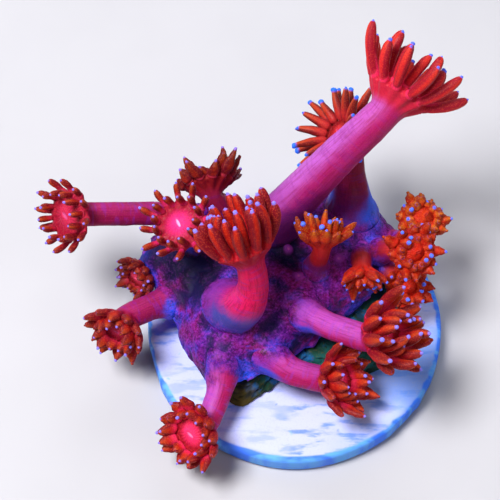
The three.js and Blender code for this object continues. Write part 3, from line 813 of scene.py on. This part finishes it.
def add_tentacle(cage, base, k, polyp, axes, crown, style):
    """Draws a tentacle out of one face of the rim."""
    rim, cup, long, thick, outer, inner, curl = crown
    shape, length_share, opens_more, uneven, bead_share, gathered = style
    face, across, up = axes
    ring = k % 2
    from_middle = k % FINGER - (FINGER - 1) / 2
    angle = 2 * math.pi * (k + 0.5 - gathered * from_middle) / TENTACLES
    angle += math.radians(TURN_VARIES) * vary(k, polyp, 1)
    opened = math.radians((outer, inner)[ring] + opens_more + OPENING_VARIES * uneven * vary(k, polyp, 2))
    bend = math.radians(curl + OPENING_VARIES * uneven * vary(k, polyp, 5))
    long *= (1 + LENGTH_VARIES * uneven * vary(k, polyp, 3)) * length_share
    long *= 1 + gathered * (0.5 - 0.4 * abs(from_middle))
    outwards = across * math.cos(angle) + up * math.sin(angle)
    column = 2 * math.pi * (k + 0.5) / TENTACLES
    sideways = np.cross(face, across * math.cos(column) + up * math.sin(column))
    start = np.mean([cage.points[i] for i in base], axis=0)
    drift = LEAN_VARIES * long * vary(k, polyp, 4)
    low = base
    beaded = vary(k, polyp, 7) < 2 * bead_share - 1
    for distance, wide, deep, along in tentacle_rings(long, thick, shape, vary(k, polyp, 6), beaded):
        share = distance / long
        turned = opened + bend * share
        out = long * (math.cos(opened) - math.cos(turned)) / bend
        rise = long * (math.sin(turned) - math.sin(opened)) / bend
        middle = start + outwards * out + face * rise + sideways * drift * share**2
        heading = outwards * math.sin(turned) + face * math.cos(turned)
        sideways_half = sideways * SQUARE_TO_ROUND * wide
        lengthways_half = np.cross(heading, sideways) * SQUARE_TO_ROUND * deep
        high = []
        for a, b in ((-1, -1), (1, -1), (1, 1), (-1, 1)):
            place = middle + sideways_half * a + lengthways_half * b
            skin = (TENTACLE_APART * k + a * thick, b * thick, distance)
            high.append(cage.add(place, along, 0, skin))
        cage.join(low, high)
        low = high
    cage.faces.append(tuple(low))


def make_polyp(polyp, number):
    rim, cup, _, thick, outer, inner, _ = polyp.crown
    face, across, up = crown_axes(polyp.face)
    neck = np.array(polyp.route[-1][:3], float)
    cage = Cage()
    stalk_end, length = add_stalk(cage, polyp.route, face, across, cup)
    neck_radius = polyp.route[-1][3]
    band = RIM_BAND * thick
    outer_angle, inner_angle = math.radians(outer), math.radians(inner)
    low_radius = rim + band * math.cos(outer_angle)
    low_height = cup - band * math.sin(outer_angle)
    rings = [stalk_end]
    for share in (0.3, 0.6, 0.85):
        radius = neck_radius + (low_radius - neck_radius) * share**1.5
        centre = neck + face * low_height * share
        depth = length + low_height * share
        rings.append(add_crown_ring(cage, centre, radius, across, up, 1 + share, 0, neck_radius, depth))
    bands = [
        (low_radius, low_height),
        (rim, cup),
        (rim - band * math.cos(inner_angle), cup + band * math.sin(inner_angle)),
    ]
    for radius, height in bands:
        centre = neck + face * height
        rings.append(add_crown_ring(cage, centre, radius, across, up, 2, 0, neck_radius, length + height))
    for low, high in zip(rings[:4], rings[1:5]):
        cage.join(low, high)
    for k in range(TENTACLES):
        nxt = (k + 1) % TENTACLES
        for ring in range(2):
            low, high = rings[4 + ring], rings[5 + ring]
            base = (low[k], low[nxt], high[nxt], high[k])
            if k % 2 == ring:
                style = CROWN_STYLES[polyp.tips][ring]
                add_tentacle(cage, base, k, number, (face, across, up), polyp.crown, style)
            else:
                cage.faces.append(base)
    edge = rings[-1]
    disc_radius, disc_height = bands[-1]
    for share, rise, mouth, slit in MOUTH_RINGS:
        bulge = MOUTH_DOMES.get(polyp.tips, 0) * (1 - share)
        height = disc_height + MOUTH_RISE * rim * (rise + bulge)
        centre = neck + face * height
        radius = disc_radius * share
        ring = add_crown_ring(cage, centre, radius, across, up, 2, mouth, radius, length + 6, slit)
        cage.join(edge, ring)
        edge = ring
    cage.faces.append(tuple(edge))
    return cage


def finish_polyp(name, cage, number, thick, lump_height):
    """Rounds the cage off, then raises the ribs under the tentacles and the skin's soft ripples."""
    piece = put_in_scene(name, cage.points, cage.faces)
    paint_values(piece, "along", cage.along)
    paint_values(piece, "mouth", cage.mouth)
    layer = piece.data.attributes.new("skin", "FLOAT_VECTOR", "POINT")
    layer.data.foreach_set("vector", np.asarray(cage.skin, np.float32).ravel())
    rounding = piece.modifiers.new("rounding", "SUBSURF")
    rounding.levels = rounding.render_levels = 2
    bpy.context.view_layer.update()
    fine = bpy.data.meshes.new_from_object(piece.evaluated_get(bpy.context.evaluated_depsgraph_get()))
    piece.modifiers.clear()
    piece.data = fine
    points = stored_values(fine.vertices, "co", 3)
    normals = stored_values(fine.vertex_normals, "vector", 3)
    along = stored_values(fine.attributes["along"].data, "value", 1)
    mouth = stored_values(fine.attributes["mouth"].data, "value", 1)
    skin = stored_values(fine.attributes["skin"].data, "vector", 3)
    turn = np.arctan2(skin[:, 1], skin[:, 0])
    under_crown = np.exp(-(((along - 1.8) / 0.4) ** 2)) * (1 - smooth_step(mouth, 0, 0.25))
    on_disc = smooth_step(mouth, 0, 0.2) * (1 - smooth_step(mouth, 0.6, 0.85))
    ribs = RIB_HEIGHT * np.cos(TENTACLES / 2 * turn - math.pi / 2) * under_crown
    ribs += FOLD_HEIGHT * np.cos(TENTACLES * turn) * on_disc
    ripples = RIPPLE_HEIGHT * noise_at(points / MM, 2.4, 40 + number, 2) * (along < 2.02)
    # Painted shade: the two sides of each tentacle, which face the gaps between tentacles, are marked for
    # darkening.
    painted_side_shade = np.abs(skin[:, 0] - TENTACLE_APART * np.round(skin[:, 0] / TENTACLE_APART)) / thick
    paint_values(piece, "painted_side_shade", smooth_step(painted_side_shade, 0.25, 0.95) * smooth_step(along, 1.95, 2.2))
    within = smooth_step(skin[:, 1] / thick, 0, 0.7) * smooth_step(along, 2, 2.05) * (mouth < 0.01)
    paint_values(piece, "within", within * (1 - smooth_step(along, 2.1, 2.6)))
    on_tentacles = smooth_step(along, 1.7, 2.1) * (1 - smooth_step(along, 2.6, 2.85))
    on_tentacles *= 1 - smooth_step(mouth, 0, 0.3) * (lump_height < LUMPS["webbed"])
    lumps = lump_height * noise_at(points / MM, LUMP_SIZE, 60 + number, 2) * on_tentacles
    stands_out = distance_from_body(points, along < 1.3)
    points += normals * ((ribs + ripples + lumps + rise_at_seam(stands_out)) * MM)[:, None]
    fine.vertices.foreach_set("co", points.ravel().astype(np.float32))
    fine.update()
    paint_values(piece, "stands_out", stands_out)
    paint_patches(piece, points / MM)
    facing = point_normals(piece)
    # Painted highlight: how far each point faces up and to the left, where the light falls.
    paint_values(piece, "painted_lit_side", np.clip(facing @ PAINTED_LIGHT_FROM, 0, 1))
    # Painted rim light: stalk flesh that faces sideways or down is marked for a blue tint.
    paint_values(piece, "painted_flank_light", 1 - smooth_step(facing[:, 2], 0.05, 0.75))
    return piece


def rise_at_seam(distance):
    """How far flesh rises where its distance from the other piece is small, outside it or inside."""
    return np.clip(FILLET - np.abs(distance), 0, None) ** 2 / (4 * FILLET)


def climb_stalks(stalks):
    """Raises the body's flesh round every stalk, so that they grow out of it smoothly."""
    points = stored_values(body.data.vertices, "co", 3) / MM
    nearest = np.full(len(points), FAR_AWAY)
    for centre, radius in stalks:
        nearest = np.minimum(nearest, np.linalg.norm(points - centre, axis=1) - radius)
    outwards = points - BODY_CENTRE
    outwards /= np.linalg.norm(outwards, axis=1)[:, None]
    points += outwards * rise_at_seam(nearest)[:, None]
    body.data.vertices.foreach_set("co", (points * MM).ravel().astype(np.float32))
    body.data.update()


def distance_from_body(points, wanted):
    """How far points stand out of the body, in millimetres: far for the ones that aren't wanted."""
    distance = np.full(len(points), FAR_AWAY)
    for i in np.flatnonzero(wanted):
        surface, normal, _, _ = body_surface.find_nearest(points[i])
        distance[i] = (Vector(points[i]) - surface).dot(normal) / MM
    return distance


# Lengthwise streaks of the stretched flesh on a stalk, from the skin's own coordinates.
streaks, given, made = new_effect(
    "streaks", {"Width": 2.2, "Stretch": 0.1}, {"Streak": "Float", "Ring": "Float", "Height": "Float"},
)
skin = add_node(streaks, "Attribute", {}, attribute_name="skin").outputs["Vector"]
pull = add_node(streaks, "CombineXYZ", {"X": 1.0, "Y": 1.0, "Z": given["Stretch"]}).outputs[0]
pulled = add_node(streaks, "VectorMath", {0: skin, 1: pull}, operation="MULTIPLY").outputs[0]
lines = add_noise(streaks, pulled, given["Width"], 4.0, 0.6)
squeezed = add_node(streaks, "VectorMath", {0: skin, 1: (0.22, 0.22, 1.25)}, operation="MULTIPLY").outputs[0]
rings = add_noise(streaks, squeezed, 1.6, 2.0)
fill_sockets(streaks, made, {
    "Streak": remap(streaks, lines, 0.42, 0.68),
    "Ring": remap(streaks, rings, 0.45, 0.7),
    "Height": average(streaks, 0.35, lines, rings),
})


# Colours of a polyp from its root to its tips, for whatever flesh it has.
polyp_paint, given, made = new_effect(
    "polyp_paint",
    {
        "Lilac": (0.24, 0.05, 0.5), "Stalk": (0.8, 0.1, 0.4), "Painted Lit Side": (0.6, 0.1, 0.5),
        "Painted Flank Light": (0.01, 0.08, 0.6), "Streak": (0.7, 0.02, 0.1), "Cup Red And Shade": (0.6, 0.02, 0.05),
        "Tentacle": (0.8, 0.04, 0.02), "Tip Band": (0.6, 0.2, 0.05), "Tip": (0.6, 0.5, 1.0),
        "Mouth": (1.0, 0.1, 0.3), "Speck": (0.8, 0.2, 0.1), "Slit": (0.8, 0.5, 0.9),
    },
    {"Colour": "Color", "Height": "Float", "Bright": "Float"},
)
along = read_values(polyp_paint, "along")
mouth = read_values(polyp_paint, "mouth")
fibres = place_effect(polyp_paint, streaks, {"Width": 3.6, "Stretch": 0.07})
spots = place_effect(polyp_paint, mottle, {"Patch Size": 420.0, "Grain Size": 4200.0, "Grain Share": 0.6})
shared = place_effect(polyp_paint, shared_flesh, {})
on_stalk = remap(polyp_paint, along, 1.9, 1.2)
low_painted_flank_light = multiply(polyp_paint, read_values(polyp_paint, "painted_flank_light"), remap(polyp_paint, along, 0.8, 0.15))
ragged = add_node(
    polyp_paint, "Math", {0: spots["Patches"], 1: 1.4, 2: read_values(polyp_paint, "stands_out")},
    operation="MULTIPLY_ADD",
).outputs[0]
speckled = multiply(polyp_paint, spots["Specks"], remap(polyp_paint, along, 1.6, 2.6, 0.1, 0.42))
dark_grain = remap(polyp_paint, spots["Grain"], 0.55, 0.0)
shaded = multiply(polyp_paint, dark_grain, remap(polyp_paint, along, 1.2, 2.2, 0.15, 0.42))
# Painted highlight: stalk flesh that faces up and to the left is painted lighter and more violet.
painted_lit_side = remap(polyp_paint, read_values(polyp_paint, "painted_lit_side"), 0.25, 0.95)
colour = blend_colours(polyp_paint, painted_lit_side, given["Stalk"], given["Painted Lit Side"])
colour = lay_tints(polyp_paint, colour, [
    (multiply(polyp_paint, fibres["Streak"], on_stalk), 0.0, 1.0, 0.4, given["Streak"]),
    (multiply(polyp_paint, fibres["Ring"], on_stalk), 0.0, 1.0, 0.3, given["Lilac"]),
    # the cup under the crown: its own deeper red, darkened further as painted shade under the tentacles
    (along, 0.75, 1.6, 1.0, given["Cup Red And Shade"]),
    (along, 0.45, 0.02, 0.85, given["Lilac"]),
    # painted rim light on the lower stalk's sideways and downward faces: blue on most flesh, a darker painted
    # shade on the orange, ember, rust and rose flesh
    (low_painted_flank_light, 0.12, 0.8, 0.9, given["Painted Flank Light"]),
    # the same clear blue patches on the stalks, partly painted rim light, take the flank colour
    (read_values(polyp_paint, "blue"), 0.35, 0.85, 0.85, given["Painted Flank Light"]),
    (ragged, 3.0, 0.4, 1.0, shared["Colour"]),
    (along, 1.9, 2.35, 1.0, given["Tentacle"]),
    (along, 2.35, 2.95, 0.7, given["Tip Band"]),
    # painted shade in the gaps, on the sides of each tentacle
    (read_values(polyp_paint, "painted_side_shade"), 0.0, 1.0, 0.75, given["Streak"]),
    (read_values(polyp_paint, "within"), 0.0, 1.0, 0.55, given["Mouth"]),
    (mouth, 0.1, 0.75, 1.0, given["Mouth"]),
])
colour = blend_colours(polyp_paint, speckled, colour, given["Speck"])
colour = blend_colours(polyp_paint, shaded, colour, given["Streak"])
colour = lay_tints(polyp_paint, colour, [
    (along, BEAD_START - 0.01, BEAD_START + 0.03, 1.0, given["Tip"]),
    (mouth, 0.88, 1.0, 0.8, given["Slit"]),
])
fill_sockets(polyp_paint, made, {
    "Colour": colour,
    "Height": average(polyp_paint, 0.5, fibres["Height"], spots["Height"]),
    "Bright": spots["Patches"],
})


def polyp_flesh(name, colours, glow):
    finish, tree, shader = new_finish(name, flesh_fixed)
    paint = place_effect(tree, polyp_paint, colours)
    gloss = remap(tree, paint["Bright"], 0.0, 1.0, 0.42, 0.58)
    # Painted light: the flesh glows in its own colour by the glow given, lifting its shaded parts.
    fill_sockets(tree, shader.inputs, {
        "Emission Color": paint["Colour"], "Emission Strength": glow, "Roughness": gloss,
    })
    dress(tree, shader, paint["Colour"], paint["Height"], 0.4, 0.00022)
    return finish


CRIMSON = {
    "Lilac": (0.22, 0.04, 0.5), "Stalk": (0.4, 0.008, 0.11), "Painted Lit Side": (0.42, 0.06, 0.4),
    "Painted Flank Light": (0.014, 0.06, 0.6), "Streak": (0.12, 0.001, 0.012), "Cup Red And Shade": (0.34, 0.005, 0.02),
    "Tentacle": (0.44, 0.007, 0.006), "Tip Band": (0.42, 0.06, 0.008), "Tip": (0.24, 0.2, 0.85),
    "Mouth": (0.95, 0.03, 0.15), "Speck": (0.75, 0.1, 0.03), "Slit": (0.95, 0.2, 0.4),
}
GARNET = {
    **CRIMSON, "Stalk": (0.25, 0.004, 0.07), "Painted Lit Side": (0.3, 0.012, 0.12), "Lilac": (0.14, 0.02, 0.4),
    "Cup Red And Shade": (0.3, 0.004, 0.03), "Tentacle": (0.34, 0.008, 0.006), "Tip Band": (0.3, 0.06, 0.008),
    "Mouth": (0.5, 0.016, 0.07), "Slit": (0.55, 0.08, 0.25),
}
BRICK = {
    "Lilac": (0.1, 0.008, 0.16), "Stalk": (0.2, 0.004, 0.04), "Painted Lit Side": (0.26, 0.01, 0.1),
    "Painted Flank Light": (0.01, 0.1, 0.8), "Streak": (0.08, 0.001, 0.01), "Cup Red And Shade": (0.2, 0.004, 0.01),
    "Tentacle": (0.42, 0.022, 0.01), "Tip Band": (0.46, 0.07, 0.016), "Tip": (0.03, 0.16, 1),
    "Mouth": (0.5, 0.022, 0.03), "Speck": (0.5, 0.08, 0.02), "Slit": (0.6, 0.06, 0.2),
}
ORANGE = {
    "Lilac": (0.24, 0.006, 0.04), "Stalk": (0.34, 0.006, 0.012), "Painted Lit Side": (0.42, 0.02, 0.02),
    "Painted Flank Light": (0.14, 0.008, 0.12), "Streak": (0.2, 0.003, 0.005), "Cup Red And Shade": (0.42, 0.01, 0.005),
    "Tentacle": (0.5, 0.028, 0.004), "Tip Band": (0.36, 0.13, 0.008), "Tip": (0.1, 0.18, 1),
    "Mouth": (0.46, 0.024, 0.005), "Speck": (0.65, 0.2, 0.02), "Slit": (0.28, 0.008, 0.006),
}
flesh_kinds = {
    "crimson": polyp_flesh("crimson_flesh", CRIMSON, 0.1),
    "garnet": polyp_flesh("garnet_flesh", GARNET, 0.1),
    "ruby": polyp_flesh("ruby_flesh", {**GARNET, "Mouth": (0.8, 0.025, 0.2), "Slit": (0.8, 0.5, 0.9)}, 0.1),
    "rose": polyp_flesh("rose_flesh", {
        **CRIMSON, "Lilac": (0.2, 0.02, 0.22), "Painted Flank Light": (0.08, 0.004, 0.1), "Stalk": (0.36, 0.01, 0.13),
        "Painted Lit Side": (0.44, 0.1, 0.5), "Cup Red And Shade": (0.48, 0.012, 0.04), "Tentacle": (0.6, 0.014, 0.018),
        "Tip Band": (0.56, 0.035, 0.02), "Tip": (0.1, 0.16, 0.9), "Streak": (0.2, 0.002, 0.02),
    }, 0.1),
    "wine": polyp_flesh("wine_flesh", {
        **CRIMSON, "Lilac": (0.12, 0.022, 0.3), "Stalk": (0.58, 0.004, 0.08),
        "Painted Lit Side": (0.56, 0.012, 0.15), "Painted Flank Light": (0.012, 0.05, 0.34), "Streak": (0.1, 0.001, 0.012),
        "Cup Red And Shade": (0.34, 0.003, 0.014), "Tentacle": (0.38, 0.003, 0.001), "Tip Band": (0.42, 0.016, 0.003),
        "Mouth": (0.5, 0.005, 0.012),
    }, 0.1),
    "brick": polyp_flesh("brick_flesh", BRICK, 0.08),
    "rust": polyp_flesh("rust_flesh", {
        **BRICK, "Painted Flank Light": (0.1, 0.008, 0.12), "Tentacle": (0.24, 0.01, 0.005),
        "Tip Band": (0.24, 0.045, 0.007), "Tip": (0.26, 0.17, 0.7), "Mouth": (0.55, 0.03, 0.08),
    }, 0.08),
    "orange": polyp_flesh("orange_flesh", ORANGE, 0.12),
    "ember": polyp_flesh("ember_flesh", {
        **ORANGE, "Tentacle": (0.46, 0.013, 0.004), "Tip Band": (0.4, 0.05, 0.006),
        "Mouth": (0.45, 0.012, 0.004), "Speck": (0.6, 0.12, 0.02),
    }, 0.12),
}

cages = {name: make_polyp(polyp, number) for number, (name, polyp) in enumerate(POLYPS.items())}
climb_stalks([station for cage in cages.values() for station in cage.stations])
body_surface = BVHTree.FromObject(body, bpy.context.evaluated_depsgraph_get())
for number, (name, polyp) in enumerate(POLYPS.items()):
    thick = polyp.crown[3]
    piece = finish_polyp("coral_polyp_" + name, cages[name], number, thick, LUMPS[polyp.tips])
    piece.data.materials.clear()
    piece.data.materials.append(flesh_kinds[polyp.skin])
    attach(piece, "root")
    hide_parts("polyp_" + name)


# The studio. A plain pale floor under broad soft lamps, the main one high at the back, and a
# camera that looks down at the fragment from 60 degrees above the horizontal.
FLOOR_SIZE = 1.6
CAMERA_AIM = Vector((-7.52, 10.55, 11.13)) * MM
CAMERA_DISTANCE = 0.3
CAMERA_ELEVATION = math.radians(60)
CAMERA_LENS = 127.3
# Lamps: place, width, power and colour. All point at the coral.
LAMPS = {
    "main_lamp": ((-0.2, -0.06, 0.5), 0.2, 4.2, (1.0, 0.98, 1.0)),
    "side_lamp": ((0.35, -0.3, 0.4), 0.5, 0.7, (0.95, 0.96, 1.0)),
    "back_lamp": ((0.1, 0.45, 0.4), 0.4, 1.4, (0.9, 0.92, 1.0)),
}

pale_floor, tree, shader = new_finish("pale_floor", {"Roughness": 0.9, "Specular IOR Level": 0.2})
dust = place_effect(tree, mottle, {"Patch Size": 30.0, "Grain Size": 700.0})
dusty = remap(tree, dust["Patches"], 0.0, 1.0, 0.0, 0.3)
tree.links.new(blend_colours(tree, dusty, (0.52, 0.52, 0.54), (0.48, 0.48, 0.5)), shader.inputs["Base Color"])
half = FLOOR_SIZE / 2 / MM
corners = [(-half, -half, 0), (half, -half, 0), (half, half, 0), (-half, half, 0)]
floor = put_in_scene("floor", corners, [(0, 1, 2, 3)])
floor.data.materials.append(pale_floor)

for name, (place, width, power, colour) in LAMPS.items():
    lamp_data = bpy.data.lights.new(name, "AREA")
    lamp_data.shape = "DISK"
    lamp_data.size = width
    lamp_data.energy = power
    lamp_data.color = colour
    lamp = bpy.data.objects.new(name, lamp_data)
    lamp.location = place
    lamp.rotation_euler = (Vector((0, 0, 0.015)) - Vector(place)).to_track_quat("-Z", "Y").to_euler()
    bpy.context.scene.collection.objects.link(lamp)

world = bpy.data.worlds.new("studio")
world.use_nodes = True
world.node_tree.nodes["Background"].inputs["Color"].default_value = (0.86, 0.88, 0.95, 1)
world.node_tree.nodes["Background"].inputs["Strength"].default_value = 0.1
bpy.context.scene.world = world
bpy.context.scene.view_settings.view_transform = "Standard"

camera_data = bpy.data.cameras.new("camera")
camera_data.lens = CAMERA_LENS
camera_data.sensor_width = 36
camera_data.clip_start = 0.01
camera = bpy.data.objects.new("camera", camera_data)
towards = Vector((0, -math.cos(CAMERA_ELEVATION), math.sin(CAMERA_ELEVATION)))
camera.location = CAMERA_AIM + CAMERA_DISTANCE * towards
camera.rotation_euler = (math.pi / 2 - CAMERA_ELEVATION, 0, 0)
bpy.context.scene.collection.objects.link(camera)
bpy.context.scene.camera = camera
